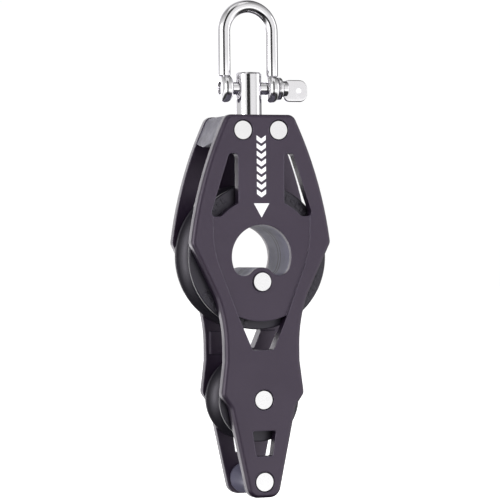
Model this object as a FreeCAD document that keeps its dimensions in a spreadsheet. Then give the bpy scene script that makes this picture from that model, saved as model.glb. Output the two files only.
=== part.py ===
import FreeCAD, Part
import math
import os

import Sketcher

# A two-sheave ball-bearing block: a large and a small sheave in line between two moulded cheeks,
# a swivelling shackle at the head and a becket at the foot. Millimetres. The origin is the large
# sheave's centre, +Z runs to the shackle, the front cheek faces -Y and the shackle pin leaves at +X.

doc = FreeCAD.newDocument("fiddle_block")
sheet = doc.addObject("Spreadsheet::Sheet", "Sizes")

SIZES = [
    # cheeks, seen from the front: half widths and heights from the large sheave's centre
    ("head_top", 55.3, "top of the cheeks"),
    ("head_half", 13.9, "half width at the top"),
    ("head_corner", 3.5, "rounding of the top corners"),
    ("shoulder_bow", 158, "radius of the long upper edge"),
    ("shoulder_half", 29.0, "half width at the widest place"),
    ("shoulder_level", 5.3, "height of the widest place"),
    ("shoulder_corner", 3.0, "rounding at the widest place"),
    ("hip_half", 18.9, "half width where the waist begins"),
    ("hip_drop", 15.6, "depth where the waist begins"),
    ("hip_corner", 6.0, "rounding of that bend"),
    ("waist_bow", 56, "radius into the waist"),
    ("waist_half", 15.55, "half width of the waist"),
    ("waist_top_drop", 34.5, "depth of the waist's top"),
    ("waist_foot_drop", 40.8, "depth of the waist's foot"),
    ("bump_half", 17.2, "half width beside the small sheave"),
    ("bump_rise", 2.2, "height of that place over the small sheave's axis"),
    ("bump_corner", 3.0, "rounding of that place"),
    ("step_half", 13.6, "half width under the bump"),
    ("step_fall", 2.8, "depth of that place under the small sheave's axis"),
    ("step_corner", 4.0, "rounding of that place"),
    ("foot_half", 6.1, "half width at the foot"),
    ("foot_margin", 6.2, "cheek below the becket rivet's axis"),
    ("foot_corner", 4.5, "rounding of the foot"),
    ("cheek_gap", 19.0, "space between the cheeks"),
    ("cheek_wall", 4.2, "thickness of a cheek"),
    ("cheek_edge", 1.6, "rounding of a cheek's outer edge"),
    ("guard_depth", 1.15, "ridge inside the waist that keeps the rope in"),
    ("guard_gap", 1.0, "space between that ridge and each sheave"),
    # openings in the cheeks
    ("slot_inner", 9.5, "inner edge of a head window"),
    ("slot_top", 40.2, "top of a head window"),
    ("slot_top_half", 13.3, "outer edge of a head window at its top"),
    ("slot_foot", 15.6, "foot of a head window's outer edge"),
    ("slot_foot_half", 21.4, "outer edge of a head window at its foot"),
    ("slot_reach", 22.8, "radius of a head window's lower edge about the large sheave"),
    ("slot_corner", 1.7, "rounding of the head windows"),
    ("notch_reach", 25.2, "radius of the waist window's top about the large sheave"),
    ("notch_half", 10.2, "half width of the waist window's top"),
    ("notch_foot", 36.4, "depth of the waist window's foot"),
    ("notch_foot_half", 4.4, "half width of the waist window's foot"),
    ("notch_corner", 1.0, "rounding of the waist window's foot"),
    ("tail_top", 67.8, "depth of the tail window's top"),
    ("tail_foot", 77.7, "depth of the tail window's foot"),
    ("tail_top_half", 4.9, "half width of the tail window's top"),
    ("tail_foot_half", 3.45, "half width of the tail window's foot"),
    ("tail_corner", 0.7, "rounding of the tail window"),
    # the sunk middle panel, which deepens from nothing at its top
    ("panel_depth", 1.1, "depth of the panel at the waist window"),
    ("panel_half", 20.1, "half width of the panel"),
    ("panel_bend", 10.0, "height where its sides begin to bend in"),
    ("panel_bow", 40.0, "radius of that bend"),
    ("panel_turn_half", 17.2, "half width at the end of the bend"),
    ("panel_turn_drop", 5.0, "depth of the end of the bend"),
    # hole through the middle, for a lashing
    ("eye_radius", 12.4, "large hole through the middle"),
    ("eye_lobe", 4.4, "rounding of its two lower corners"),
    ("eye_bump", 5.6, "radius of the material kept round the main rivet"),
    ("main_rivet_drop", 9.8, "depth of the main rivet"),
    # large sheave and its two rows of balls
    ("sheave_width", 17.4, "width of both sheaves"),
    ("rim_wall", 1.3, "width of a rim's edge"),
    ("rim_edge", 0.5, "rounding of a rim"),
    ("main_radius", 28.5, "outer radius of the large sheave"),
    ("main_floor", 22.9, "radius of its rope groove's floor"),
    ("main_pitch", 17.65, "radius of its rows of balls"),
    ("main_ball", 2.0, "radius of its balls"),
    ("main_row", 3.9, "distance of each row from the middle"),
    # small sheave and its two rows of balls
    ("small_drop", 55.8, "depth of the small sheave's axis"),
    ("small_radius", 16.5, "outer radius of the small sheave"),
    ("small_floor", 11.0, "radius of its rope groove's floor"),
    ("small_pitch", 7.4, "radius of its rows of balls"),
    ("small_ball", 1.6, "radius of its balls"),
    ("small_row", 3.6, "distance of each row from the middle"),
    ("ball_clearance", 0.05, "play of a ball in its race"),
    ("cover_thick", 1.4, "thickness of the ring that shuts in the balls"),
    ("cover_gap", 0.35, "space between that ring and the hub it turns round"),
    ("hub_seat", 1.3, "how far a hub is let into a cheek"),
    ("main_spigot", 15.4, "radius of the large hub's end"),
    ("small_spigot", 6.2, "radius of the small hub's end"),
    # rivets and the becket's spool
    ("becket_drop", 87.7, "depth of the becket rivet"),
    ("rivet_radius", 2.2, "shank of the three axle rivets"),
    ("rivet_head", 3.55, "radius of a rivet's head"),
    ("rivet_head_thick", 1.5, "thickness of a rivet's head"),
    ("rivet_sink", 0.12, "how far a head lies under the cheek's face"),
    ("rivet_ring", 0.5, "gap round a head in its counterbore"),
    ("head_rivet_half", 7.4, "half the distance between the head rivets"),
    ("head_rivet_rise", 49.2, "height of the head rivets"),
    ("head_rivet_radius", 1.8, "shank of a head rivet"),
    ("spool_end", 6.0, "radius of the spool's ends"),
    ("spool_waist", 3.8, "radius of the spool's waist"),
    ("spool_rim", 1.2, "width of the spool's ends"),
    # head block and swivel
    ("head_foot", 43.0, "height of the head block's lower face in the middle"),
    ("head_rise", 1.6, "how much higher that face is at the cheeks"),
    ("head_inset", 0.25, "how far the head block stays inside the cheeks' outline"),
    ("post_radius", 5.2, "swivel post"),
    ("post_top", 72.4, "top of the swivel post"),
    ("post_edge", 0.7, "bevel of the post's top"),
    ("post_sunk", 3.0, "how far the full post goes into the head"),
    ("neck_radius", 3.6, "post's neck inside the head"),
    ("flange_radius", 6.1, "post's flange under the head"),
    ("flange_thick", 2.4, "thickness of that flange"),
    ("washer_thick", 1.0, "bearing washer on the flange"),
    ("washer_lift", 0.02, "space between the washer and the flange"),
    ("swivel_play", 0.08, "radial play of the swivel"),
    ("pocket_play", 0.14, "space round the flange in the head"),
    # shackle
    ("pin_level", 66.2, "height of the shackle pin"),
    ("pin_radius", 2.5, "shackle pin"),
    ("pin_play", 0.06, "radial play of the pin"),
    ("bow_radius", 2.5, "bar of the shackle"),
    ("bow_half", 10.0, "half the distance between the shackle's legs"),
    ("bow_rise", 22.3, "height of the bow's centre over the pin"),
    ("ear_radius", 5.6, "shackle ear"),
    ("ear_wall", 3.8, "thickness of an ear"),
    ("ear_edge", 1.1, "rounding of an ear"),
    ("collar_radius", 4.5, "pin's collar against the ear"),
    ("collar_wall", 1.7, "thickness of that collar"),
    ("collar_gap", 0.25, "space between the collar and the shackle's leg"),
    ("throat_radius", 3.15, "step between the collar and the tab"),
    ("throat_wall", 1.5, "length of that step"),
    ("tab_lap", 0.75, "how far the tab's root reaches into the step"),
    ("tab_reach", 9.6, "length of the pin's tab"),
    ("tab_shoulder", 2.4, "length over which the tab widens"),
    ("tab_half", 4.35, "half the height of the tab"),
    ("tab_thick", 2.2, "thickness of the tab"),
    ("tab_fall", 0.8, "how far the tab's middle lies under the pin's axis"),
    ("tab_hole", 1.1, "radius of the hole in the tab"),
    ("tab_hole_inset", 3.84, "distance of that hole from the tab's end"),
    ("tab_round", 3.1, "rounding of the tab's far corners"),
]
MAIN_BALLS = 24
SMALL_BALLS = 13
OVERRUN = 1.2  # a cut right through goes this many times as deep as what it cuts
NEAR = 1e-4  # places closer than this are one place


class Size(float):
    """A length that also knows the sheet expression it comes from."""

    def __new__(cls, value, text):
        size = super().__new__(cls, value)
        size.text = text
        return size

    def __add__(self, other):
        return Size(float(self) + float(other), f"({self.text} + {written(other)})")

    def __radd__(self, other):
        return Size(float(other) + float(self), f"({written(other)} + {self.text})")

    def __sub__(self, other):
        return Size(float(self) - float(other), f"({self.text} - {written(other)})")

    def __rsub__(self, other):
        return Size(float(other) - float(self), f"({written(other)} - {self.text})")

    def __mul__(self, other):
        return Size(float(self) * float(other), f"({self.text} * {written(other)})")

    def __rmul__(self, other):
        return Size(float(other) * float(self), f"({written(other)} * {self.text})")

    def __truediv__(self, other):
        return Size(float(self) / float(other), f"({self.text} / {written(other)})")

    def __neg__(self):
        return Size(-float(self), f"(-{self.text})")


def written(value):
    return value.text if isinstance(value, Size) else repr(float(value))


def root(size):
    return Size(math.sqrt(size), f"sqrt({size.text})")


def fill_sheet():
    for row, (alias, value, meaning) in enumerate(SIZES, 1):
        sheet.set(f"A{row}", meaning)
        sheet.set(f"B{row}", str(value))
        sheet.setAlias(f"B{row}", alias)
    doc.recompute()
    return {alias: Size(sheet.get(alias), f"Sizes.{alias}") for alias, _, _ in SIZES}


class Named:
    """The sheet's sizes as attributes."""

    def __init__(self, sizes):
        self.__dict__.update(sizes)


s = Named(fill_sheet())
cheek_inner = s.cheek_gap / 2
cheek_outer = cheek_inner + s.cheek_wall
foot_drop = s.becket_drop + s.foot_margin
hub_end = cheek_inner + s.hub_seat


def bind(thing, name, size):
    """Set a property and tie it to the sheet."""
    setattr(thing, name, float(size))
    if isinstance(size, Size):
        thing.setExpression(name, size.text)


def new_body(name):
    body = doc.addObject("PartDesign::Body", name)
    body.Label = name
    return body


def new_sketch(body, role, lift=0.0, tilt=0.0, tilt_text=None):
    """A sketch on one of the body's origin planes, lifted along the plane's normal."""
    sketch = body.newObject("Sketcher::SketchObject", f"{body.Name}_sketch")
    plane = next(f for f in body.Origin.OriginFeatures if f.Role == role)
    sketch.AttachmentSupport = [(plane, "")]
    sketch.MapMode = "FlatFace"
    turn = FreeCAD.Rotation(FreeCAD.Vector(1, 0, 0), tilt)
    sketch.AttachmentOffset = FreeCAD.Placement(FreeCAD.Vector(0, 0, float(lift)), turn)
    if isinstance(lift, Size):
        sketch.setExpression("AttachmentOffset.Base.z", lift.text)
    if tilt_text:
        sketch.setExpression("AttachmentOffset.Rotation.Angle", tilt_text)
    doc.recompute()
    return sketch


def measure(sketch, kind, *places, size):
    index = sketch.addConstraint(Sketcher.Constraint(kind, *places, float(size)))
    if isinstance(size, Size):
        sketch.setExpression(f"Constraints[{index}]", size.text)


def fix_point(sketch, line, end, x, y):
    measure(sketch, "DistanceX", -1, 1, line, end, size=x)
    measure(sketch, "DistanceY", -1, 1, line, end, size=y)


def add_circle(sketch, x, y, radius):
    shape = Part.Circle(FreeCAD.Vector(x, y, 0), FreeCAD.Vector(0, 0, 1), float(radius))
    ring = sketch.addGeometry(shape)
    fix_point(sketch, ring, 3, x, y)
    measure(sketch, "Radius", ring, size=radius)


def bowed(start, end, radius):
    """The arc from start to end; a positive radius bulges to the right of travel."""
    chord = end - start
    side = FreeCAD.Vector(chord.y, -chord.x, 0).normalize()
    rise = abs(radius) - math.sqrt(radius * radius - (chord.Length / 2) ** 2)
    middle = (start + end) * 0.5 + side * math.copysign(rise, radius)
    return Part.Arc(start, middle, end)


def add_outline(sketch, corners):
    """A closed outline. A corner is (x, y) or (x, y, bow), the bow being the radius of the run
    that leaves it, positive where that run bulges to the right of travel."""
    runs = []
    for here, after in zip(corners, corners[1:] + corners[:1]):
        start = FreeCAD.Vector(here[0], here[1], 0)
        end = FreeCAD.Vector(after[0], after[1], 0)
        if len(here) == 3:
            arc = bowed(start, end, float(here[2]))
            run = sketch.addGeometry(arc)
            turned = (sketch.getPoint(run, 1) - start).Length > NEAR
            runs.append((run, 2 if turned else 1, 1 if turned else 2))
        else:
            runs.append((sketch.addGeometry(Part.LineSegment(start, end)), 1, 2))
    for (run, start, end), (after, after_start, _) in zip(runs, runs[1:] + runs[:1]):
        sketch.addConstraint(Sketcher.Constraint("Coincident", run, end, after, after_start))
    for (run, start, _), corner in zip(runs, corners):
        fix_point(sketch, run, start, corner[0], corner[1])
        if len(corner) == 3:
            measure(sketch, "Radius", run, size=corner[2] if corner[2] > 0 else -corner[2])


def mirrored(half):
    """A whole outline from the corners of its right half, listed from the top down."""
    left = []
    for place in range(len(half) - 1, -1, -1):
        x, y = half[place][0], half[place][1]
        bow = half[place - 1][2:] if place else ()
        left.append((-x, y, *bow))
    return list(half) + left


def add_feature(body, kind, name, sketch, length=None, away=False, through=False):
    feature = body.newObject(f"PartDesign::{kind}", f"{body.Name}_{name}")
    feature.Profile = sketch
    if through:
        feature.Type = 1
    if length is not None:
        bind(feature, "Length", length)
    feature.Reversed = away
    doc.recompute()
    return feature


def pad(body, sketch, length, away=False):
    return add_feature(body, "Pad", "pad", sketch, length, away)


def cut(body, name, sketch, length=None, away=False):
    """A pocket that has to take something away."""
    before = body.Shape.Volume
    feature = add_feature(body, "Pocket", name, sketch, length, away, length is None)
    if not feature.Shape.Volume < before - NEAR:
        raise RuntimeError(f"{feature.Name} cuts nothing")
    return feature


def turn(body, sketch, kind="Revolution", axis="H_Axis"):
    feature = body.newObject(f"PartDesign::{kind}", f"{body.Name}_turn")
    feature.Profile = sketch
    feature.ReferenceAxis = (sketch, [axis])
    feature.Angle = 360
    doc.recompute()
    return feature


def dress(body, kind, name, base, chosen, size):
    """A fillet or chamfer on the chosen edges of a feature."""
    names = [f"Edge{i}" for i, edge in enumerate(base.Shape.Edges, 1) if chosen(edge)]
    if not names:
        raise RuntimeError(f"{body.Name} {name} finds no edge")
    feature = body.newObject(f"PartDesign::{kind}", f"{body.Name}_{name}")
    feature.Base = (base, names)
    bind(feature, "Radius" if kind == "Fillet" else "Size", size)
    doc.recompute()
    return feature


def put(body, x=0.0, y=0.0, z=0.0):
    for axis, size in zip("xyz", (x, y, z)):
        if isinstance(size, Size):
            body.setExpression(f"Placement.Base.{axis}", size.text)
    doc.recompute()


def along_y(x, z):
    """Picks the edges that run front to back at (x, z)."""
    place = FreeCAD.Vector(x, 0, z)

    def chosen(edge):
        ends = [v.Point for v in edge.Vertexes]
        flat = [FreeCAD.Vector(p.x, 0, p.z) for p in ends]
        return len(ends) == 2 and all((p - place).Length < NEAR for p in flat)

    return chosen


def round_corners(body, name, base, corners, size):
    """Rounds the upright edges at each (x, z), and at its mirror image."""
    tests = [along_y(side * x, z) for x, z in corners for side in (1, -1)]
    return dress(body, "Fillet", name, base, lambda e: any(t(e) for t in tests), size)


def cheek_outline():
    return mirrored([
        (s.head_half, s.head_top, -s.shoulder_bow),
        (s.shoulder_half, s.shoulder_level),
        (s.hip_half, -s.hip_drop, s.waist_bow),
        (s.waist_half, -s.waist_top_drop),
        (s.waist_half, -s.waist_foot_drop),
        (s.bump_half, s.bump_rise - s.small_drop),
        (s.step_half, -s.small_drop - s.step_fall),
        (s.foot_half, -foot_drop),
    ])


def end_at(sketch, run, place):
    """Which end of a run, 1 or 2, lies at a place."""
    away = sketch.getPoint(run, 1) - FreeCAD.Vector(*place, 0)
    return 1 if away.Length < NEAR else 2


def eye_outline(sketch):
    """The lashing hole: a circle flattened below by two lobes and a bump over the main rivet.
    Each lobe touches the circle from inside and the bump from outside."""
    wide = s.eye_radius
    lobe = s.eye_lobe
    bump = s.eye_bump
    from_eye = wide - lobe
    from_rivet = bump + lobe
    across = from_rivet * from_rivet - from_eye * from_eye - s.main_rivet_drop * s.main_rivet_drop
    lobe_z = across / (2 * s.main_rivet_drop)
    lobe_x = root(from_eye * from_eye - lobe_z * lobe_z)
    touch_x = lobe_x * wide / from_eye
    touch_z = lobe_z * wide / from_eye
    bump_x = lobe_x * bump / from_rivet
    bump_z = (lobe_z + s.main_rivet_drop) * bump / from_rivet - s.main_rivet_drop
    start, end = (touch_x, touch_z), (-touch_x, touch_z)
    upper = Part.Arc(
        FreeCAD.Vector(*start, 0), FreeCAD.Vector(0, wide, 0), FreeCAD.Vector(*end, 0)
    )
    ring = sketch.addGeometry(upper)
    low_right = sketch.addGeometry(bowed(
        FreeCAD.Vector(bump_x, bump_z, 0), FreeCAD.Vector(*start, 0), float(lobe)))
    low_left = sketch.addGeometry(bowed(
        FreeCAD.Vector(*end, 0), FreeCAD.Vector(-bump_x, bump_z, 0), float(lobe)))
    over = sketch.addGeometry(bowed(
        FreeCAD.Vector(-bump_x, bump_z, 0), FreeCAD.Vector(bump_x, bump_z, 0), -float(bump)))
    left, right = (-bump_x, bump_z), (bump_x, bump_z)
    meetings = (
        (ring, low_right, start), (ring, low_left, end), (low_left, over, left),
        (over, low_right, right))
    for one, two, place in meetings:
        one_end = end_at(sketch, one, place)
        two_end = end_at(sketch, two, place)
        sketch.addConstraint(Sketcher.Constraint("Coincident", one, one_end, two, two_end))
        fix_point(sketch, one, one_end, *place)
    for run, radius in ((ring, wide), (low_left, lobe), (over, bump), (low_right, lobe)):
        measure(sketch, "Radius", run, size=radius)


def make_cheek(name, side):
    """A cheek with its windows, eye, rivet holes and sunk panel. side is 1 in front, -1 behind."""
    body = new_body(name)
    behind = side < 0
    plate = new_sketch(body, "XZ_Plane", side * cheek_inner)
    add_outline(plate, cheek_outline())
    base = pad(body, plate, s.cheek_wall, behind)
    corners = [
        ("top", s.head_half, s.head_top, s.head_corner),
        ("shoulder", s.shoulder_half, s.shoulder_level, s.shoulder_corner),
        ("hip", s.hip_half, -s.hip_drop, s.hip_corner),
        ("bump", s.bump_half, s.bump_rise - s.small_drop, s.bump_corner),
        ("step", s.step_half, -s.small_drop - s.step_fall, s.step_corner),
        ("foot", s.foot_half, -foot_drop, s.foot_corner),
    ]
    for label, x, z, radius in corners:
        base = round_corners(body, f"{label}_round", base, [(x, z)], radius)
    face = -side * float(cheek_outer)
    base = dress(body, "Fillet", "edge", base, lambda e: on_plane(e, face), s.cheek_edge)

    guard = new_sketch(body, "XZ_Plane", side * (cheek_inner - s.guard_depth))
    top = -s.main_radius - s.guard_gap
    foot = s.small_radius + s.guard_gap - s.small_drop
    half = s.waist_half - s.cheek_edge
    add_outline(guard, [(-half, top), (-half, foot), (half, foot), (half, top)])
    pad(body, guard, s.guard_depth, behind)

    windows = new_sketch(body, "XZ_Plane", side * cheek_inner)
    slot_low_x = root(s.slot_reach * s.slot_reach - s.slot_foot * s.slot_foot)
    slot_low_z = root(s.slot_reach * s.slot_reach - s.slot_inner * s.slot_inner)
    for hand in (1, -1):
        add_outline(windows, [
            (hand * s.slot_inner, s.slot_top),
            (hand * s.slot_inner, slot_low_z, -hand * s.slot_reach),
            (hand * slot_low_x, s.slot_foot),
            (hand * s.slot_foot_half, s.slot_foot),
            (hand * s.slot_top_half, s.slot_top),
        ])
    slots = cut(body, "slots", windows, s.cheek_wall * OVERRUN, not behind)
    slots = round_corners(body, "slot_round", slots, [
        (s.slot_inner, s.slot_top), (s.slot_top_half, s.slot_top),
        (s.slot_foot_half, s.slot_foot), (slot_low_x, s.slot_foot)], s.slot_corner)

    notch = new_sketch(body, "XZ_Plane")
    notch_z = -root(s.notch_reach * s.notch_reach - s.notch_half * s.notch_half)
    add_outline(notch, [
        (-s.notch_half, notch_z, s.notch_reach), (s.notch_half, notch_z),
        (s.notch_foot_half, -s.notch_foot), (-s.notch_foot_half, -s.notch_foot)])
    opened = cut(body, "notch", notch, cheek_outer * OVERRUN, not behind)
    opened = round_corners(
        body, "notch_round", opened, [(s.notch_foot_half, -s.notch_foot)], s.notch_corner)

    tail = new_sketch(body, "XZ_Plane")
    add_outline(tail, [
        (-s.tail_top_half, -s.tail_top), (s.tail_top_half, -s.tail_top),
        (s.tail_foot_half, -s.tail_foot), (-s.tail_foot_half, -s.tail_foot)])
    opened = cut(body, "tail", tail, cheek_outer * OVERRUN, not behind)
    opened = round_corners(body, "tail_round", opened, [
        (s.tail_top_half, -s.tail_top), (s.tail_foot_half, -s.tail_foot)], s.tail_corner)

    eye = new_sketch(body, "XZ_Plane")
    eye_outline(eye)
    cut(body, "eye", eye, cheek_outer * OVERRUN, not behind)

    holes = new_sketch(body, "XZ_Plane")
    for drop in (s.main_rivet_drop, s.small_drop, s.becket_drop):
        add_circle(holes, 0, -drop, s.rivet_radius)
    for hand in (1, -1):
        add_circle(holes, hand * s.head_rivet_half, s.head_rivet_rise, s.head_rivet_radius)
    cut(body, "rivet_holes", holes, cheek_outer * OVERRUN, not behind)

    sink = s.rivet_head_thick + s.rivet_sink
    bores = new_sketch(body, "XZ_Plane", side * (cheek_outer - sink))
    for drop in (s.main_rivet_drop, s.small_drop, s.becket_drop):
        add_circle(bores, 0, -drop, s.rivet_head + s.rivet_ring)
    for hand in (1, -1):
        add_circle(bores, hand * s.head_rivet_half, s.head_rivet_rise, s.rivet_head + s.rivet_ring)
    cut(body, "counterbores", bores, sink * OVERRUN, not behind)

    seats = new_sketch(body, "XZ_Plane", side * hub_end)
    add_circle(seats, 0, 0, s.main_spigot)
    add_circle(seats, 0, -s.small_drop, s.small_spigot)
    cut(body, "hub_seats", seats, hub_end, behind)

    panel_top = s.slot_top - s.slot_corner
    slope = s.panel_depth / (panel_top + s.notch_reach)
    angle = math.degrees(math.atan(slope))
    middle = cheek_outer - slope * panel_top
    panel = new_sketch(body, "XZ_Plane", side * middle, side * angle,
                       f"{side} * atan({slope.text})")
    low = s.notch_reach + s.notch_corner
    add_outline(panel, mirrored([
        (s.slot_inner + s.slot_corner, panel_top),
        (s.panel_half, s.slot_foot + s.slot_corner),
        (s.panel_half, s.panel_bend, -s.panel_bow),
        (s.panel_turn_half, -s.panel_turn_drop),
        (s.notch_half, notch_z),
        (s.notch_half - 2 * s.notch_corner, -low),
    ]))
    cut(body, "panel", panel, s.cheek_wall, not behind)
    return body


def on_plane(edge, y):
    box = edge.BoundBox
    return abs(box.YMin - y) < NEAR and abs(box.YMax - y) < NEAR


def make_head_half(name, side):
    """Half of the spacer at the head, split at mid-plane round the swivel post."""
    body = new_body(name)
    behind = side < 0
    plate = new_sketch(body, "XZ_Plane")
    span = s.head_top - s.shoulder_level
    fall = s.head_top - s.head_foot
    chord = s.shoulder_half - s.head_half
    # half width of the cheek's long edge at the head block's foot, on its own arc
    length = root(span * span + chord * chord)
    deep = root(s.shoulder_bow * s.shoulder_bow - length * length / 4)
    centre_x = (s.head_half + s.shoulder_half) / 2 - deep * span / length
    centre_z = (s.head_top + s.shoulder_level) / 2 - deep * chord / length
    low = s.head_foot - centre_z
    foot_half = centre_x + root(s.shoulder_bow * s.shoulder_bow - low * low)
    add_outline(plate, mirrored([
        (s.head_half - s.head_inset, s.head_top - s.head_inset, -s.shoulder_bow),
        (foot_half - s.head_inset, s.head_foot),
    ]))
    base = pad(body, plate, cheek_inner, behind)
    round_corners(body, "top_round", base,
                  [(s.head_half - s.head_inset, s.head_top - s.head_inset)], s.head_corner)

    under = new_sketch(body, "YZ_Plane", -s.shoulder_half)
    add_outline(under, [
        (0, s.head_foot), (-side * cheek_inner, s.head_foot),
        (-side * cheek_inner, s.head_foot + s.head_rise)])
    cut(body, "slope", under, s.shoulder_half * 2, True)

    holes = new_sketch(body, "XZ_Plane")
    for hand in (1, -1):
        add_circle(holes, hand * s.head_rivet_half, s.head_rivet_rise, s.head_rivet_radius)
    cut(body, "rivet_holes", holes, cheek_inner, not behind)

    bore = new_sketch(body, "XY_Plane", s.head_foot)
    add_circle(bore, 0, 0, s.flange_radius + s.pocket_play)
    cut(body, "pocket", bore, s.flange_thick + s.washer_thick + s.swivel_play, True)
    neck = new_sketch(body, "XY_Plane", s.head_foot)
    add_circle(neck, 0, 0, s.neck_radius + s.swivel_play)
    cut(body, "neck", neck, fall, True)
    mouth = new_sketch(body, "XY_Plane", s.head_top - s.post_sunk)
    add_circle(mouth, 0, 0, s.post_radius + s.swivel_play)
    cut(body, "mouth", mouth, s.post_sunk, True)
    return body


def make_post():
    """The swivel post: a full-size top with the pin's hole, a neck in the head, a flange below."""
    body = new_body("swivel_post")
    profile = new_sketch(body, "YZ_Plane")
    shoulder = s.head_top - s.post_sunk + s.swivel_play
    flange_top = s.head_foot + s.flange_thick
    add_outline(profile, [
        (0, s.head_foot), (s.flange_radius, s.head_foot), (s.flange_radius, flange_top),
        (s.neck_radius, flange_top), (s.neck_radius, shoulder), (s.post_radius, shoulder),
        (s.post_radius, s.post_top), (0, s.post_top)])
    base = turn(body, profile, axis="V_Axis")
    top = float(s.post_top)
    dress(body, "Chamfer", "bevel", base,
          lambda e: abs(e.BoundBox.ZMin - top) < NEAR and len(e.Vertexes) == 1, s.post_edge)
    hole = new_sketch(body, "YZ_Plane", -s.post_radius)
    add_circle(hole, 0, s.pin_level, s.pin_radius + s.pin_play)
    cut(body, "pin_hole", hole, s.post_radius * 2, True)
    return body


def make_swivel_washer():
    body = new_body("swivel_washer")
    lift = s.head_foot + s.flange_thick + s.washer_lift
    ring = new_sketch(body, "XY_Plane", lift)
    add_circle(ring, 0, 0, s.flange_radius)
    add_circle(ring, 0, 0, s.neck_radius + s.swivel_play)
    pad(body, ring, s.washer_thick)
    return body


def make_bow():
    """The shackle's bar, bent over, with an ear at each foot."""
    body = new_body("shackle_bow")
    leg_foot = s.pin_level + s.collar_radius + s.collar_gap
    bar = new_sketch(body, "XY_Plane", leg_foot)
    add_circle(bar, s.bow_half, 0, s.bow_radius)
    path = new_sketch(body, "XZ_Plane")
    crown = s.pin_level + s.bow_rise
    low, high = (s.bow_half, leg_foot), (s.bow_half, crown)
    leg = path.addGeometry(Part.LineSegment(FreeCAD.Vector(*low, 0), FreeCAD.Vector(*high, 0)))
    arc = path.addGeometry(Part.Arc(
        FreeCAD.Vector(*high, 0), FreeCAD.Vector(0, crown + s.bow_half, 0),
        FreeCAD.Vector(-s.bow_half, crown, 0)))
    far = path.addGeometry(Part.LineSegment(
        FreeCAD.Vector(-s.bow_half, crown, 0), FreeCAD.Vector(-s.bow_half, leg_foot, 0)))
    path.addConstraint(Sketcher.Constraint("Coincident", leg, 2, arc, 1))
    path.addConstraint(Sketcher.Constraint("Coincident", arc, 2, far, 1))
    fix_point(path, leg, 1, *low)
    fix_point(path, leg, 2, *high)
    fix_point(path, arc, 3, 0, crown)
    measure(path, "DistanceY", -1, 1, far, 1, size=crown)
    fix_point(path, far, 2, -s.bow_half, leg_foot)
    pipe = body.newObject("PartDesign::AdditivePipe", "shackle_bow_bar")
    pipe.Profile = bar
    pipe.Spine = (path, ["Edge1", "Edge2", "Edge3"])
    doc.recompute()
    rim = s.pin_level + s.ear_radius
    for inner in (s.bow_half - s.ear_wall / 2, -s.bow_half - s.ear_wall / 2):
        outer = inner + s.ear_wall
        ear = new_sketch(body, "XZ_Plane")
        add_outline(ear, [
            (outer, s.pin_level), (inner, s.pin_level), (inner, rim - s.ear_edge, -s.ear_edge),
            (inner + s.ear_edge, rim), (outer - s.ear_edge, rim, -s.ear_edge),
            (outer, rim - s.ear_edge)])
        turn(body, ear, axis="Edge1")
    hole = new_sketch(body, "YZ_Plane", -s.bow_half - s.ear_wall)
    add_circle(hole, 0, s.pin_level, s.pin_radius + s.pin_play)
    cut(body, "pin_hole", hole, (s.bow_half + s.ear_wall) * 2, True)
    return body


def make_pin():
    """The shackle's pin with its collar and its flat tab."""
    body = new_body("shackle_pin")
    outer = s.bow_half + s.ear_wall / 2
    shaft = new_sketch(body, "YZ_Plane", -outer + s.ear_edge / 2)
    add_circle(shaft, 0, s.pin_level, s.pin_radius)
    pad(body, shaft, outer * 2 - s.ear_edge / 2)
    collar = new_sketch(body, "YZ_Plane", outer)
    add_circle(collar, 0, s.pin_level, s.collar_radius)
    pad(body, collar, s.collar_wall)
    throat = new_sketch(body, "YZ_Plane", outer + s.collar_wall)
    add_circle(throat, 0, s.pin_level, s.throat_radius)
    pad(body, throat, s.throat_wall)
    tab = new_sketch(body, "XZ_Plane", -s.tab_thick / 2)
    root_x = outer + s.collar_wall + s.throat_wall - s.tab_lap
    full_x = outer + s.collar_wall + s.throat_wall + s.tab_shoulder
    end_x = outer + s.collar_wall + s.throat_wall + s.tab_reach
    middle = s.pin_level - s.tab_fall
    add_outline(tab, [
        (root_x, s.pin_level - s.throat_radius), (full_x, middle - s.tab_half),
        (end_x, middle - s.tab_half), (end_x, middle + s.tab_half),
        (full_x, middle + s.tab_half), (root_x, s.pin_level + s.throat_radius)])
    flat = pad(body, tab, s.tab_thick)
    ends = [along_y(end_x, middle - s.tab_half), along_y(end_x, middle + s.tab_half)]
    flat = dress(body, "Fillet", "tab_end", flat, lambda e: any(t(e) for t in ends), s.tab_round)
    knees = [along_y(full_x, middle - s.tab_half), along_y(full_x, middle + s.tab_half)]
    dress(body, "Fillet", "tab_knee", flat, lambda e: any(t(e) for t in knees), s.throat_radius)
    hole = new_sketch(body, "XZ_Plane", -s.tab_thick)
    add_circle(hole, end_x - s.tab_hole_inset, middle, s.tab_hole)
    cut(body, "tab_hole", hole, s.tab_thick * 2, True)
    return body


def make_sheave(name, radius, floor, pitch, ball, row):
    """A sheave with a concave rope groove, a middle rib and a race beside it for each ball row."""
    body = new_body(name)
    half = s.sheave_width / 2
    race = ball + s.ball_clearance
    bore = pitch + race
    lip = half - s.rim_wall
    deep = radius - floor
    groove = (lip * lip + deep * deep) / (2 * deep)
    profile = new_sketch(body, "YZ_Plane")
    add_outline(profile, [
        (-half, bore), (-row, bore, -race), (race - row, pitch), (row - race, pitch, -race),
        (row, bore), (half, bore), (half, radius), (lip, radius, -groove), (-lip, radius),
        (-half, radius)])
    base = turn(body, profile)
    top = float(radius)
    dress(body, "Fillet", "rims", base,
          lambda e: abs(e.BoundBox.ZMax - top) < NEAR and is_ring(e), s.rim_edge)
    return body


def is_ring(edge):
    box = edge.BoundBox
    return box.YMax - box.YMin < NEAR < box.ZMax - box.ZMin


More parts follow.
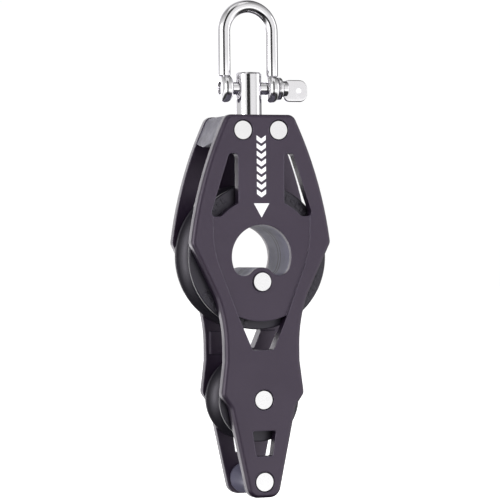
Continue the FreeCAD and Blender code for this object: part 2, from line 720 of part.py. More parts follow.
def make_hub_half(name, side, pitch, ball, row, spigot, eye=False):
    """Half of a fixed hub: a sleeve for the balls to run on, a shoulder outside them, and a
    spigot let into the cheek."""
    body = new_body(name)
    race = ball + s.ball_clearance
    profile = new_sketch(body, "YZ_Plane")
    add_outline(profile, [
        (0, 0), (0, pitch - race), (-side * row, pitch - race, -side * race),
        (-side * (row + race), pitch), (-side * cheek_inner, pitch),
        (-side * cheek_inner, spigot), (-side * hub_end, spigot), (-side * hub_end, 0)])
    turn(body, profile)
    hole = new_sketch(body, "XZ_Plane")
    if eye:
        add_circle(hole, 0, -s.main_rivet_drop, s.rivet_radius)
        eye_outline(hole)
    else:
        add_circle(hole, 0, 0, s.rivet_radius)
    cut(body, "holes", hole, hub_end * OVERRUN, side > 0)
    return body


def make_balls(name, side, pitch, ball, row, count):
    """One row of balls."""
    body = new_body(name)
    sketch = new_sketch(body, "YZ_Plane")
    middle = FreeCAD.Vector(-side * row, pitch, 0)
    out = FreeCAD.Vector(ball, 0, 0)
    ring = Part.Circle(middle, FreeCAD.Vector(0, 0, 1), float(ball))
    arc = sketch.addGeometry(Part.ArcOfCircle(ring, 0, math.pi))
    line = sketch.addGeometry(Part.LineSegment(middle - out, middle + out))
    sketch.addConstraint(Sketcher.Constraint("Coincident", arc, 1, line, 2))
    sketch.addConstraint(Sketcher.Constraint("Coincident", arc, 2, line, 1))
    sketch.addConstraint(Sketcher.Constraint("PointOnObject", arc, 3, line))
    sketch.addConstraint(Sketcher.Constraint("Horizontal", line))
    fix_point(sketch, arc, 3, -side * row, pitch)
    measure(sketch, "Radius", arc, size=ball)
    first = body.newObject("PartDesign::Revolution", f"{name}_one")
    first.Profile = sketch
    first.ReferenceAxis = (sketch, ["Edge2"])
    first.Angle = 360
    doc.recompute()
    ring = body.newObject("PartDesign::PolarPattern", f"{name}_row")
    ring.Originals = [first]
    ring.Axis = (sketch, ["H_Axis"])
    ring.Angle = 360
    ring.Occurrences = count
    body.Tip = ring
    doc.recompute()
    return body


def make_cover(name, side, pitch, ball, row):
    """The ring pressed into the sheave's side that shuts in a row of balls."""
    body = new_body(name)
    half = s.sheave_width / 2
    ring = new_sketch(body, "XZ_Plane", side * (half - s.cover_thick))
    add_circle(ring, 0, 0, pitch + ball + s.ball_clearance)
    add_circle(ring, 0, 0, pitch + s.cover_gap)
    pad(body, ring, s.cover_thick, side < 0)
    return body


def make_rivet(name, shank, x=None):
    """A rivet through both cheeks with a flat head at each end, or a pair of them either side."""
    body = new_body(name)
    end = cheek_outer - s.rivet_sink
    under = end - s.rivet_head_thick
    profile = new_sketch(body, "XZ_Plane")
    middle = 0 if x is None else x
    add_outline(profile, [
        (middle, -end), (middle + s.rivet_head, -end), (middle + s.rivet_head, -under),
        (middle + shank, -under), (middle + shank, under), (middle + s.rivet_head, under),
        (middle + s.rivet_head, end), (middle, end)])
    profile.AttachmentSupport = [(plane_of(body, "XY_Plane"), "")]
    doc.recompute()
    base = body.newObject("PartDesign::Revolution", f"{name}_turn")
    base.Profile = profile
    base.ReferenceAxis = (profile, ["Edge8"])
    base.Angle = 360
    doc.recompute()
    if x is not None:
        twin = body.newObject("PartDesign::Mirrored", f"{name}_twin")
        twin.Originals = [base]
        twin.MirrorPlane = (plane_of(body, "YZ_Plane"), [""])
        body.Tip = twin
        doc.recompute()
    return body


def plane_of(body, role):
    return next(f for f in body.Origin.OriginFeatures if f.Role == role)


def make_spool():
    """The becket's hourglass spool, held between the cheeks by the lowest rivet."""
    body = new_body("becket_spool")
    lip = cheek_inner - s.spool_rim
    deep = s.spool_end - s.spool_waist
    bow = (lip * lip + deep * deep) / (2 * deep)
    profile = new_sketch(body, "YZ_Plane")
    add_outline(profile, [
        (-cheek_inner, s.rivet_radius), (cheek_inner, s.rivet_radius), (cheek_inner, s.spool_end),
        (lip, s.spool_end, -bow), (-lip, s.spool_end), (-cheek_inner, s.spool_end)])
    turn(body, profile)
    put(body, z=-s.becket_drop)
    return body


def build_all():
    pieces = [
        make_cheek("front_cheek", 1),
        make_cheek("rear_cheek", -1),
        make_head_half("front_head_spacer", 1),
        make_head_half("rear_head_spacer", -1),
        make_post(),
        make_swivel_washer(),
        make_bow(),
        make_pin(),
    ]
    main = (s.main_pitch, s.main_ball, s.main_row)
    small = (s.small_pitch, s.small_ball, s.small_row)
    pieces.append(make_sheave("main_sheave", s.main_radius, s.main_floor, *main))
    low = [make_sheave("small_sheave", s.small_radius, s.small_floor, *small)]
    for where, side in (("front", 1), ("rear", -1)):
        pieces.append(make_hub_half(f"main_hub_{where}", side, *main, s.main_spigot, eye=True))
        pieces.append(make_balls(f"main_balls_{where}", side, *main, MAIN_BALLS))
        pieces.append(make_cover(f"main_ball_cover_{where}", side, *main))
        low.append(make_hub_half(f"small_hub_{where}", side, *small, s.small_spigot))
        low.append(make_balls(f"small_balls_{where}", side, *small, SMALL_BALLS))
        low.append(make_cover(f"small_ball_cover_{where}", side, *small))
    for body in low:
        put(body, z=-s.small_drop)
    pieces.append(make_rivet("head_rivets", s.head_rivet_radius, s.head_rivet_half))
    put(pieces[-1], z=s.head_rivet_rise)
    for name, drop in (("main_rivet", s.main_rivet_drop), ("small_sheave_rivet", s.small_drop),
                       ("becket_rivet", s.becket_drop)):
        pieces.append(make_rivet(name, s.rivet_radius))
        put(pieces[-1], z=-drop)
    return pieces + low + [make_spool()]


def check_document(pieces):
    """Stops the build if any object failed or any piece isn't a sound solid."""
    doc.recompute()
    for thing in doc.Objects:
        if {"Invalid", "Error"} & set(thing.State):
            raise RuntimeError(f"{thing.Name} failed: {thing.State}")
    for piece in pieces:
        if piece.Shape.isNull() or not piece.Shape.isValid() or not piece.Shape.Solids:
            raise RuntimeError(f"{piece.Label} has no sound shape")


def write_parts(pieces):
    os.makedirs("parts", exist_ok=True)
    for piece in pieces:
        piece.Shape.exportStep(f"parts/{piece.Label}.step")
        print(f"{piece.Label:24s} {len(piece.Shape.Solids):3d} solids {piece.Shape.Volume:10.2f} mm3")


pieces = build_all()
check_document(pieces)
write_parts(pieces)
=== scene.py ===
import math

import bmesh
import bpy
from mathutils import Euler, Matrix, Vector


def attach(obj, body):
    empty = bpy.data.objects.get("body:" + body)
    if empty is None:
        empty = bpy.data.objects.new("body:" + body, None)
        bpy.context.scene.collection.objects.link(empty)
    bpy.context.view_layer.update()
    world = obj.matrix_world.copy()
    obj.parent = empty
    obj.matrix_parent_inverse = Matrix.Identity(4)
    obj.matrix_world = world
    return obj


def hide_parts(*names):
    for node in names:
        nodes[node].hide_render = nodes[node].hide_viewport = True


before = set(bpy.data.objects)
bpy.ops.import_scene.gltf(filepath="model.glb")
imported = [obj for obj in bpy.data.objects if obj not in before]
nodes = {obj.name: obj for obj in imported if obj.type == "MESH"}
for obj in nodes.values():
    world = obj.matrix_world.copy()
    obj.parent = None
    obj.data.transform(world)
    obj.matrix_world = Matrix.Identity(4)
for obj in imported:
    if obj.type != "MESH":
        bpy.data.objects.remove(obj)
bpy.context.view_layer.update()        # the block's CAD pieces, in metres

mm = 0.001


def clearSelection():
    bpy.ops.object.select_all(action="DESELECT")


def pick(piece):        # the only piece selected, and active
    clearSelection()
    bpy.context.view_layer.objects.active = piece
    piece.select_set(True)


def openMesh(piece):
    pick(piece)
    bpy.ops.object.mode_set(mode="EDIT")


def closeMesh():
    bpy.ops.object.mode_set(mode="OBJECT")


def chooseEdges(piece, wanted):        # wanted(a, b) looks at an edge's two ends
    bpy.ops.mesh.select_all(action="DESELECT")
    bpy.ops.mesh.select_mode(type="EDGE")
    mesh = bmesh.from_edit_mesh(piece.data)
    for edge in mesh.edges:
        edge.select_set(wanted(edge.verts[0].co, edge.verts[1].co))
    bmesh.update_edit_mesh(piece.data)


def joinPieces(pieces, name):
    clearSelection()
    for piece in pieces:
        piece.select_set(True)
    bpy.context.view_layer.objects.active = pieces[0]
    bpy.ops.object.join()
    whole = bpy.context.view_layer.objects.active
    whole.name = whole.data.name = name
    return whole


def settle(piece):        # place, turn and scale go into the mesh
    pick(piece)
    bpy.ops.object.transform_apply(location=True, rotation=True, scale=True)


def useModifier(piece, kind, **values):
    pick(piece)
    bpy.ops.object.modifier_add(type=kind)
    modifier = piece.modifiers[-1]
    for name, value in values.items():
        setattr(modifier, name, value)
    bpy.ops.object.modifier_apply(modifier=modifier.name)


def drill(piece, tool):        # takes the tool's shape out of the piece
    useModifier(piece, "BOOLEAN", operation="DIFFERENCE", object=tool, solver="EXACT")
    bpy.data.objects.remove(tool)


def weld(piece, others):        # adds the others to the piece as one solid
    for other in others:
        useModifier(piece, "BOOLEAN", operation="UNION", object=other, solver="EXACT")
        bpy.data.objects.remove(other)


def rod(radius, start, length, way="X", sides=64, edge=0.0, steps=3):
    turned = {"X": (0, math.pi / 2, 0), "Y": (math.pi / 2, 0, 0)}[way]
    axis = "XYZ".index(way)
    middle = Vector(start)
    middle[axis] += length / 2
    clearSelection()
    bpy.ops.mesh.primitive_cylinder_add(
        vertices=sides, radius=radius, depth=length, location=middle, rotation=turned)
    piece = bpy.context.active_object
    settle(piece)
    if edge:        # only the two end circles lie square to the axis
        openMesh(piece)
        chooseEdges(piece, lambda a, b: abs(a[axis] - b[axis]) < 1e-7)
        bpy.ops.mesh.bevel(offset=edge, segments=steps, profile=0.5, affect="EDGES")
        closeMesh()
    return piece


cameraPlan = {
    "turn": 20.6, "distance": 0.99, "height": 0.0026, "roll": 0.65, "lens": 181.0, "sensor": 36,
    "nearest": 0.01, "farthest": 50,
}

cameraTurn = math.radians(cameraPlan["turn"])
bpy.ops.object.camera_add()
camera = bpy.context.active_object
camera.name = "bench_camera"
camera.location = (-math.sin(cameraTurn) * cameraPlan["distance"],
                   -math.cos(cameraTurn) * cameraPlan["distance"], cameraPlan["height"])
cameraFacing = Euler((math.pi / 2, 0, -cameraTurn)).to_matrix()
cameraFacing = cameraFacing @ Matrix.Rotation(-math.radians(cameraPlan["roll"]), 3, "Z")
camera.rotation_euler = cameraFacing.to_euler()
camera.data.lens = cameraPlan["lens"]
camera.data.sensor_width = cameraPlan["sensor"]
camera.data.clip_start = cameraPlan["nearest"]
camera.data.clip_end = cameraPlan["farthest"]
bpy.context.scene.camera = camera
print("camera placed")


def newGroup(name, inputs, outputs):
    group = bpy.data.node_groups.new(name, "ShaderNodeTree")
    for label, value in inputs.items():
        entry = group.interface.new_socket(name=label, in_out="INPUT", socket_type="NodeSocketFloat")
        entry.default_value = value
    for label, kind in outputs.items():
        group.interface.new_socket(name=label, in_out="OUTPUT", socket_type=f"NodeSocket{kind}")
    given = group.nodes.new("NodeGroupInput").outputs
    result = group.nodes.new("NodeGroupOutput").inputs
    return group, given, result


def plug(tree, source, target):        # a value is typed in, a socket is linked
    if isinstance(source, (int, float)):
        target.default_value = source
    else:
        tree.links.new(source, target)


def calc(tree, operation, *values):
    node = tree.nodes.new("ShaderNodeMath")
    node.operation = operation
    for place, value in enumerate(values):
        plug(tree, value, node.inputs[place])
    return node.outputs[0]


def stretch(tree, value, low, high, newLow=0.0, newHigh=1.0):        # Map Range, clamped
    node = tree.nodes.new("ShaderNodeMapRange")
    ends = {"From Min": low, "From Max": high, "To Min": newLow, "To Max": newHigh, "Value": value}
    for name, amount in ends.items():
        plug(tree, amount, node.inputs[name])
    return node.outputs["Result"]


def ownPlace(tree):        # the point on the piece, in metres
    return tree.nodes.new("ShaderNodeTexCoord").outputs["Object"]


def splitPlace(tree):
    node = tree.nodes.new("ShaderNodeSeparateXYZ")
    plug(tree, ownPlace(tree), node.inputs[0])
    return node.outputs


def noise(tree, scale, detail=3.0, rough=0.5):
    node = tree.nodes.new("ShaderNodeTexNoise")
    plug(tree, ownPlace(tree), node.inputs["Vector"])
    plug(tree, scale, node.inputs["Scale"])
    node.inputs["Detail"].default_value = detail
    node.inputs["Roughness"].default_value = rough
    return node.outputs["Fac"]


def makeMouldGrain():        # fine spark-eroded mould texture with slow flow marks
    group, given, result = newGroup(
        "mouldGrain", {"Grain Scale": 3000.0, "Flow Scale": 90.0, "Pits": 0.6, "Flow": 0.7, "Fine": 0.3},
        {"Height": "Float", "Shade": "Float"})
    fine = noise(group, given["Grain Scale"], detail=2.0, rough=0.6)
    pits = group.nodes.new("ShaderNodeTexVoronoi")
    plug(group, ownPlace(group), pits.inputs["Vector"])
    plug(group, given["Grain Scale"], pits.inputs["Scale"])
    flow = noise(group, given["Flow Scale"], detail=4.0, rough=0.55)
    deep = calc(group, "MULTIPLY", pits.outputs["Distance"], given["Pits"])
    plug(group, calc(group, "ADD", fine, deep), result["Height"])
    slow = calc(group, "MULTIPLY", flow, given["Flow"])
    quick = calc(group, "MULTIPLY", fine, given["Fine"])
    plug(group, calc(group, "ADD", slow, quick), result["Shade"])
    return group


def makeEdgeRubAndHighlight():        # the rounded, paler line along an edge: partly rub wear, partly a painted highlight where light catches the rounding
    group, given, result = newGroup(
        "edgeRubAndHighlight", {"Width": 0.0004, "Patches": 260.0}, {"RubAndHighlight": "Float", "Soft Normal": "Vector"})
    rounded = group.nodes.new("ShaderNodeBevel")
    rounded.samples = 4
    plug(group, given["Width"], rounded.inputs["Radius"])
    flat = group.nodes.new("ShaderNodeNewGeometry")
    compare = group.nodes.new("ShaderNodeVectorMath")
    compare.operation = "DOT_PRODUCT"
    plug(group, rounded.outputs[0], compare.inputs[0])
    plug(group, flat.outputs["Normal"], compare.inputs[1])
    flatSide, sharpSide = 0.995, 0.85        # how nearly the rounded normal matches the face's own
    edge = stretch(group, compare.outputs["Value"], flatSide, sharpSide)
    leastRubAndHighlight = 0.45
    patches = stretch(group, noise(group, given["Patches"]), 0.35, 0.65, leastRubAndHighlight, 1.0)
    # painted highlight: the edge mask, broken into patches, lightens the colour along edges; some of it
    # stands for rub wear
    plug(group, calc(group, "MULTIPLY", edge, patches), result["RubAndHighlight"])
    plug(group, rounded.outputs[0], result["Soft Normal"])
    return group


def makeSeamLine():        # a parting line at a distance from mid-plane
    group, given, result = newGroup("seamLine", {"Width": 0.0002, "Offset": 0.0}, {"Seam": "Float"})
    across = splitPlace(group)[1]
    away = calc(group, "ABSOLUTE", calc(group, "SUBTRACT", across, given["Offset"]))
    half = calc(group, "MULTIPLY", given["Width"], 0.5)
    plug(group, stretch(group, away, half, given["Width"], 1.0, 0.0), result["Seam"])
    return group


def makeTurnedLines():        # fine rings round a front-to-back axis, the same at -X and +X
    group, given, result = newGroup(
        "turnedLines", {"Centre X": 0.0, "Centre Z": 0.0, "Pitch": 0.0004, "Uneven": 400.0},
        {"Height": "Float"})
    x, _, z = splitPlace(group)
    dx = calc(group, "SUBTRACT", calc(group, "ABSOLUTE", x), given["Centre X"])
    dz = calc(group, "SUBTRACT", z, given["Centre Z"])
    square = calc(group, "ADD", calc(group, "MULTIPLY", dx, dx), calc(group, "MULTIPLY", dz, dz))
    turns = calc(group, "DIVIDE", calc(group, "SQRT", square), given["Pitch"])
    wave = calc(group, "SINE", calc(group, "MULTIPLY", turns, 2 * math.pi))
    patchy = noise(group, given["Uneven"], detail=2.0)
    plug(group, calc(group, "MULTIPLY", wave, patchy), result["Height"])
    return group


def makeHandMarks():        # slow patches of handling that change the gloss a little
    group, given, result = newGroup(
        "handMarks", {"Size": 60.0, "Smooth": 0.3, "Dull": 0.4}, {"Roughness": "Float"})
    marks = noise(group, given["Size"], detail=5.0, rough=0.6)
    clean, handled = 0.3, 0.7
    gloss = stretch(group, marks, clean, handled, given["Smooth"], given["Dull"])
    plug(group, gloss, result["Roughness"])
    return group


chevronPlan = {
    "Top": 45.8 * mm, "Foot": 22.2 * mm, "Half Width": 1.9 * mm, "Pitch": 3.0 * mm, "Rise": 0.7,
    "Paint": 0.6, "Head Top": 20.7 * mm, "Head Point": 15.2 * mm, "Head Half": 3.2 * mm,
    "Front": -13.0 * mm, "Wear Scale": 1500.0,
}


def makeChevrons():        # plain painted chevrons and an arrowhead down the front cheek
    group, given, result = newGroup("paintedChevrons", chevronPlan, {"Mark": "Float"})
    x, y, z = splitPlace(group)
    away = calc(group, "ABSOLUTE", x)
    leaning = calc(group, "SUBTRACT", z, calc(group, "MULTIPLY", away, given["Rise"]))
    place = calc(group, "DIVIDE", calc(group, "SUBTRACT", given["Top"], leaning), given["Pitch"])
    fullLength = calc(group, "SUBTRACT", given["Top"], given["Foot"])
    count = calc(group, "DIVIDE", fullLength, given["Pitch"])
    bar = calc(group, "LESS_THAN", calc(group, "FRACT", place), given["Paint"])
    inside = calc(group, "LESS_THAN", away, given["Half Width"])
    under = calc(group, "GREATER_THAN", place, 0.0)
    over = calc(group, "LESS_THAN", place, count)
    for part in (inside, under, over):
        bar = calc(group, "MULTIPLY", bar, part)
    fall = stretch(group, z, given["Head Point"], given["Head Top"])
    flank = calc(group, "LESS_THAN", away, calc(group, "MULTIPLY", fall, given["Head Half"]))
    below = calc(group, "LESS_THAN", z, given["Head Top"])
    mark = calc(group, "MAXIMUM", bar, calc(group, "MULTIPLY", flank, below))
    mark = calc(group, "MULTIPLY", mark, calc(group, "LESS_THAN", y, given["Front"]))
    bare, whole = 0.28, 0.36        # paint is lost only in the noise's deepest spots
    worn = stretch(group, noise(group, given["Wear Scale"], detail=4.0, rough=0.7), bare, whole)
    plug(group, calc(group, "MULTIPLY", mark, worn), result["Mark"])
    return group


groups = {
    "grain": makeMouldGrain(), "rubAndHighlight": makeEdgeRubAndHighlight(), "seam": makeSeamLine(),
    "turned": makeTurnedLines(), "marks": makeHandMarks(), "chevrons": makeChevrons(),
}
print("node groups made")


def newFinish(name, values):
    finish = bpy.data.materials.new(name)
    finish.use_nodes = True
    tree = finish.node_tree
    shader = tree.nodes["Principled BSDF"]
    for label, value in values.get("shader", {}).items():
        shader.inputs[label].default_value = value
    finish.diffuse_color = (*values["colour"], 1)
    return finish, tree, shader


def useGroup(tree, name, **values):
    node = tree.nodes.new("ShaderNodeGroup")
    node.node_tree = groups[name]
    for label, value in values.items():
        node.inputs[label.replace("_", " ")].default_value = value
    return node.outputs


def blendColour(tree, amount, first, second):
    node = tree.nodes.new("ShaderNodeMix")
    node.data_type = "RGBA"
    plug(tree, amount, node.inputs["Factor"])
    for place, colour in ((6, first), (7, second)):        # the node's two colour sockets
        if isinstance(colour, tuple):
            node.inputs[place].default_value = (*colour, 1)
        else:
            plug(tree, colour, node.inputs[place])
    return node.outputs[2]


def addBump(tree, shader, height, depth, normal=None):
    node = tree.nodes.new("ShaderNodeBump")
    node.inputs["Distance"].default_value = depth
    node.inputs["Strength"].default_value = 1.0
    plug(tree, height, node.inputs["Height"])
    if normal is not None:
        plug(tree, normal, node.inputs["Normal"])
    plug(tree, node.outputs[0], shader.inputs["Normal"])


def addRings(tree, height, rings):        # rings: centre x, centre z, pitch and share of the height
    centreX, centreZ, pitch, share = rings
    lines = useGroup(tree, "turned", Centre_X=centreX, Centre_Z=centreZ, Pitch=pitch)
    return calc(tree, "ADD", height, calc(tree, "MULTIPLY", lines["Height"], share))


def addGrain(tree, shader, values):        # what every finish has: grain, shade and handling marks
    grain = useGroup(tree, "grain", Grain_Scale=values["grain"], Flow_Scale=values["flow"])
    smooth, dull = values["gloss"]
    marks = useGroup(tree, "marks", Size=values["marks"], Smooth=smooth, Dull=dull)
    plug(tree, marks["Roughness"], shader.inputs["Roughness"])
    colour = blendColour(tree, grain["Shade"], values["dark"], values["colour"])
    height = grain["Height"]
    if "rings" in values:
        height = addRings(tree, height, values["rings"])
    return colour, height


def mouldedFinish(name, values):
    finish, tree, shader = newFinish(name, values)
    colour, height = addGrain(tree, shader, values)
    rubAndHighlight = useGroup(tree, "rubAndHighlight", Width=values["edge"])
    for offset in values.get("seams", ()):
        seam = useGroup(tree, "seam", Width=values["seamWidth"], Offset=offset)
        colour = blendColour(tree, seam["Seam"], colour, values["seamColour"])
    # paler colour along edges: a painted highlight, partly rub wear
    colour = blendColour(tree, rubAndHighlight["RubAndHighlight"], colour, values["rubAndHighlightColour"])
    if "paint" in values:
        chevrons = useGroup(tree, "chevrons")
        colour = blendColour(tree, chevrons["Mark"], colour, values["paint"])
    plug(tree, colour, shader.inputs["Base Color"])
    addBump(tree, shader, height, values["depth"], rubAndHighlight["Soft Normal"])
    return finish


def steelFinish(name, values):
    finish, tree, shader = newFinish(name, values)
    shader.inputs["Metallic"].default_value = 1.0
    colour, height = addGrain(tree, shader, values)
    plug(tree, colour, shader.inputs["Base Color"])
    addBump(tree, shader, height, values["depth"])
    return finish


# each finish's pale edge colour is partly a painted highlight, partly rub wear
cheekFinish = {
    "colour": (0.013, 0.006, 0.019), "dark": (0.008, 0.0035, 0.012), "rubAndHighlightColour": (0.06, 0.052, 0.078),
    "grain": 5200.0, "flow": 70.0, "marks": 45.0, "gloss": (0.36, 0.46), "edge": 0.0007,
    "depth": 0.000012, "paint": (0.86, 0.86, 0.88),
    "shader": {"IOR": 1.74, "Specular Tint": (0.95, 0.85, 1.0, 1.0)},
}
cheekNylon = mouldedFinish("cheek_nylon", cheekFinish)

spacerFinish = {
    "colour": (0.19, 0.177, 0.24), "dark": (0.02, 0.018, 0.026), "rubAndHighlightColour": (0.34, 0.33, 0.40),
    "grain": 2600.0, "flow": 420.0, "marks": 130.0, "gloss": (0.42, 0.6), "edge": 0.0003,
    "depth": 0.00005, "seams": (0.0,), "seamWidth": 0.00022, "seamColour": (0.03, 0.027, 0.035),
    "shader": {"IOR": 1.5},
}
spacerNylon = mouldedFinish("head_spacer_nylon", spacerFinish)

smallSheaveLevel = -55.8 * mm
mainRings = (0.0, 0.0, 0.45 * mm, 0.35)
smallRings = (0.0, smallSheaveLevel, 0.45 * mm, 0.35)
sheaveFinish = {
    "colour": (0.013, 0.011, 0.017), "dark": (0.008, 0.007, 0.011), "rubAndHighlightColour": (0.12, 0.115, 0.14),
    "grain": 4200.0, "flow": 110.0, "marks": 70.0, "gloss": (0.34, 0.42), "edge": 0.00015,
    "depth": 0.000003, "shader": {"IOR": 1.58, "Specular Tint": (0.94, 0.9, 1.0, 1.0)},
}
mainSheaveAcetal = mouldedFinish("main_sheave_acetal", dict(sheaveFinish, rings=mainRings))
smallSheaveAcetal = mouldedFinish("small_sheave_acetal", dict(sheaveFinish, rings=smallRings))

coverFinish = dict(sheaveFinish, colour=(0.026, 0.025, 0.032), gloss=(0.4, 0.5))
mainCoverAcetal = mouldedFinish("main_ball_cover_acetal", dict(coverFinish, rings=mainRings))
smallCoverAcetal = mouldedFinish("small_ball_cover_acetal", dict(coverFinish, rings=smallRings))

hubFinish = {
    "colour": (0.155, 0.147, 0.225), "dark": (0.055, 0.052, 0.09), "rubAndHighlightColour": (0.30, 0.295, 0.36),
    "grain": 3600.0, "flow": 240.0, "marks": 80.0, "gloss": (0.5, 0.6), "edge": 0.0002,
    "depth": 0.00001, "seams": (-0.0011, 0.0013), "seamWidth": 0.00042,
    "seamColour": (0.012, 0.011, 0.016),
    "shader": {"IOR": 1.42, "Specular Tint": (0.92, 0.9, 1.0, 1.0)},
}
hubAcetal = mouldedFinish("hub_acetal", hubFinish)

becketLevel = -87.7 * mm
spoolFinish = dict(
    hubFinish, colour=(0.12, 0.115, 0.165), dark=(0.08, 0.076, 0.115), seams=(), gloss=(0.3, 0.4),
    rings=(0.0, becketLevel, 0.5 * mm, 0.4))
spoolNylon = mouldedFinish("becket_spool_nylon", spoolFinish)

ballFinish = {
    "colour": (0.78, 0.78, 0.74), "dark": (0.66, 0.66, 0.62), "rubAndHighlightColour": (0.82, 0.82, 0.8),
    "grain": 5000.0, "flow": 500.0, "marks": 300.0, "gloss": (0.2, 0.3), "edge": 0.00005,
    "depth": 0.000004, "shader": {"IOR": 1.48, "Subsurface Weight": 0.1},
}
ballAcetal = mouldedFinish("ball_acetal", ballFinish)
washerAcetal = mouldedFinish("washer_acetal", dict(ballFinish, gloss=(0.35, 0.45)))

stainlessFinish = {
    "colour": (0.87, 0.86, 0.875), "dark": (0.74, 0.73, 0.75),
    "grain": 2400.0, "flow": 160.0, "marks": 110.0, "gloss": (0.1, 0.16), "depth": 0.0000004,
    "shader": {"Specular Tint": (0.6, 0.59, 0.64, 1.0)},
}
stainless = steelFinish("polished_stainless", stainlessFinish)

rivetFinish = dict(
    stainlessFinish, colour=(0.94, 0.935, 0.94), dark=(0.82, 0.815, 0.82), gloss=(0.2, 0.3),
    grain=1500.0, depth=0.000006)
rivetCentres = {        # x and z; the head rivets are a pair, at -X and +X
    "head_rivets": (7.4 * mm, 49.2 * mm), "main_rivet": (0.0, -9.8 * mm),
    "small_sheave_rivet": (0.0, smallSheaveLevel), "becket_rivet": (0.0, becketLevel),
}
rivetRings = {"pitch": 0.28 * mm, "share": 0.5}

finishes = {
    "front_cheek": cheekNylon, "rear_cheek": cheekNylon,
    "front_head_spacer": spacerNylon, "rear_head_spacer": spacerNylon,
    "swivel_post": stainless, "swivel_washer": washerAcetal,
    "shackle_bow": stainless, "shackle_pin": stainless,
    "main_sheave": mainSheaveAcetal, "small_sheave": smallSheaveAcetal,
    "becket_spool": spoolNylon,
}
for name, (x, z) in rivetCentres.items():
    rings = (x, z, rivetRings["pitch"], rivetRings["share"])
    finishes[name] = steelFinish(f"{name}_steel", dict(rivetFinish, rings=rings))
for end in ("front", "rear"):
    finishes[f"main_hub_{end}"] = hubAcetal
    finishes[f"small_hub_{end}"] = hubAcetal
    finishes[f"main_balls_{end}"] = ballAcetal
    finishes[f"small_balls_{end}"] = ballAcetal
    finishes[f"main_ball_cover_{end}"] = mainCoverAcetal
    finishes[f"small_ball_cover_{end}"] = smallCoverAcetal


def finishPiece(piece, finish):
    if not piece.material_slots:
        piece.data.materials.append(finish)
    for place in piece.material_slots:
        place.material = finish


for name, piece in nodes.items():
    finishPiece(piece, finishes[name])
print("finishes on", len(nodes), "CAD pieces")


pinLevel = 66.2 * mm        # height of the screw pin's axis
bowShape = {
    "bar": 2.5 * mm, "half": 10.0 * mm, "crown": 88.5 * mm, "legFoot": 70.9 * mm,
    "footEdge": 0.5 * mm, "earRadius": 5.6 * mm, "earMiddle": 9.65 * mm, "earWall": 4.5 * mm,
    "earEdge": 2.15 * mm, "pinHole": 2.56 * mm, "drillReach": 20 * mm, "bendSteps": 72,
    "barSides": 64, "earSides": 96, "earSteps": 8,
}


def makeBow(shape):
    clearSelection()
    bpy.ops.mesh.primitive_circle_add(
        vertices=shape["barSides"], radius=shape["bar"], fill_type="NGON",
        location=(shape["half"], 0, shape["legFoot"]))
    bow = bpy.context.active_object
    bow.name = bow.data.name = "forged_shackle_bow"
    settle(bow)
    openMesh(bow)
    bpy.ops.mesh.select_all(action="SELECT")
    rise = shape["crown"] - shape["legFoot"]
    bpy.ops.mesh.extrude_region_move(TRANSFORM_OT_translate={"value": (0, 0, rise)})
    bpy.ops.mesh.spin(
        steps=shape["bendSteps"], angle=math.pi, center=(0, 0, shape["crown"]), axis=(0, 1, 0))
    bpy.ops.mesh.extrude_region_move(TRANSFORM_OT_translate={"value": (0, 0, -rise)})
    bpy.ops.mesh.select_all(action="SELECT")
    bpy.ops.mesh.remove_doubles(threshold=1e-6)
    bpy.ops.mesh.normals_make_consistent(inside=False)
    foot = shape["legFoot"] + 1e-6
    chooseEdges(bow, lambda a, b: a.z < foot and b.z < foot)
    bpy.ops.mesh.bevel(offset=shape["footEdge"], segments=3, affect="EDGES")
    closeMesh()
    ears = []
    for hand in (1, -1):
        start = (hand * shape["earMiddle"] - shape["earWall"] / 2, 0, pinLevel)
        ears.append(rod(shape["earRadius"], start, shape["earWall"], sides=shape["earSides"],
                        edge=shape["earEdge"], steps=shape["earSteps"]))
    weld(bow, ears)
    reach = shape["drillReach"]
    drill(bow, rod(shape["pinHole"], (-reach, 0, pinLevel), 2 * reach))
    return bow


bow = makeBow(bowShape)
print("bow", len(bow.data.polygons), "faces")


pinShape = {
    "radius": 2.5 * mm, "start": -11.35 * mm, "earFace": 11.9 * mm, "tipEdge": 0.35 * mm,
    "collar": 4.5 * mm, "collarWall": 1.7 * mm, "collarEdge": 0.5 * mm,
    "throat": 3.15 * mm, "throatWall": 1.5 * mm, "throatEdge": 0.9 * mm, "throatInTab": 1.6 * mm,
    "overlap": 0.2 * mm, "tabInThroat": 0.6, "tabReach": 9.6 * mm, "tabHalf": 4.35 * mm,
    "tabThick": 2.2 * mm, "tabFall": 0.8 * mm, "farRound": 3.3 * mm, "nearRound": 2.5 * mm,
    "tabEdge": 0.55 * mm, "tabHole": 1.1 * mm, "holePlace": 20.86 * mm, "drillReach": 5 * mm,
    "shaftInCollar": 1 * mm, "collarSides": 96, "collarSteps": 5, "throatSteps": 6, "holeSides": 48,
    "farSteps": 14, "nearSteps": 10, "edgeSteps": 4,
}


def makeTab(shape, start, end, level):
    clearSelection()
    bpy.ops.mesh.primitive_cube_add(size=1, location=((start + end) / 2, 0, level))
    tab = bpy.context.active_object
    tab.scale = (end - start, shape["tabThick"], 2 * shape["tabHalf"])
    settle(tab)
    openMesh(tab)
    near = 1e-6
    chooseEdges(tab, lambda a, b: a.x > end - near and b.x > end - near and abs(a.z - b.z) < near)
    bpy.ops.mesh.bevel(offset=shape["farRound"], segments=shape["farSteps"], affect="EDGES")
    chooseEdges(tab, lambda a, b: a.x < start + near and b.x < start + near and abs(a.z - b.z) < near)
    bpy.ops.mesh.bevel(offset=shape["nearRound"], segments=shape["nearSteps"], affect="EDGES")
    side = shape["tabThick"] / 2 - near
    chooseEdges(tab, lambda a, b: abs(a.y - b.y) < 1e-7 and abs(a.y) > side)
    bpy.ops.mesh.bevel(offset=shape["tabEdge"], segments=shape["edgeSteps"], affect="EDGES")
    closeMesh()
    return tab


